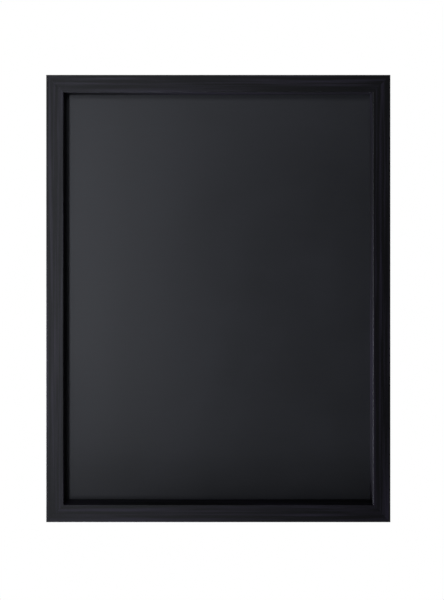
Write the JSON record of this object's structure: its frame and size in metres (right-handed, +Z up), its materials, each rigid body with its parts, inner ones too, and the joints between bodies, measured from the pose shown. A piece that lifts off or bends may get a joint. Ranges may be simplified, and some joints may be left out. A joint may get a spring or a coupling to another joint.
{
  "type": "wall chalkboard",
  "caption": "Portrait wall chalkboard: a matt black writing sheet in a mitred black wood frame, hung by swinging D-rings, with rubber bumpers against the wall.",
  "frame": {"origin": "middle of the board on the wall plane, which the bumpers' faces lie in", "axes": "+Z up along the long sides, +X to the right as seen by the reader, +Y into the wall; the writing side faces -Y"},
  "size_m": [0.334, 0.024, 0.434],
  "materials": {
    "frame_wood": "black-stained and satin-lacquered wood, fine grain along each rail",
    "chalk_surface": "matt charcoal-black chalk laminate",
    "hardboard": "smooth brown pressed hardboard",
    "spring_steel": "blued spring steel strip",
    "zinc_steel": "bright zinc-plated steel",
    "nickel_wire": "nickel-plated steel wire",
    "rubber": "matt dark grey rubber"
  },
  "bodies": {
    "board": {"rail_top": "frame_wood", "rail_bottom": "frame_wood", "rail_left": "frame_wood", "rail_right": "frame_wood", "writing_sheet": "chalk_surface", "backing_board": "hardboard", "v_nail_top_left_outer": "spring_steel", "v_nail_top_left_inner": "spring_steel", "v_nail_top_right_outer": "spring_steel", "v_nail_top_right_inner": "spring_steel", "v_nail_bottom_left_outer": "spring_steel", "v_nail_bottom_left_inner": "spring_steel", "v_nail_bottom_right_outer": "spring_steel", "v_nail_bottom_right_inner": "spring_steel", "point_top_left": "spring_steel", "point_top_right": "spring_steel", "point_bottom_left": "spring_steel", "point_bottom_right": "spring_steel", "point_left_upper": "spring_steel", "point_left_middle": "spring_steel", "point_left_lower": "spring_steel", "point_right_upper": "spring_steel", "point_right_middle": "spring_steel", "point_right_lower": "spring_steel", "strap_left": "zinc_steel", "strap_right": "zinc_steel", "screw_left": "zinc_steel", "screw_right": "zinc_steel", "bumper_left": "rubber", "bumper_right": "rubber"},
    "ring_left": {"ring_left": "nickel_wire"},
    "ring_right": {"ring_right": "nickel_wire"}
  },
  "joints": [
    {"name": "ring_left_swing", "type": "hinge", "parent": "board", "child": "ring_left", "pos_m": [-0.1602, -0.00215, 0.157], "axis": [-1, 0, 0], "range_deg": [0, 168]},
    {"name": "ring_right_swing", "type": "hinge", "parent": "board", "child": "ring_right", "pos_m": [0.1602, -0.00215, 0.157], "axis": [-1, 0, 0], "range_deg": [0, 168]}
  ]
}
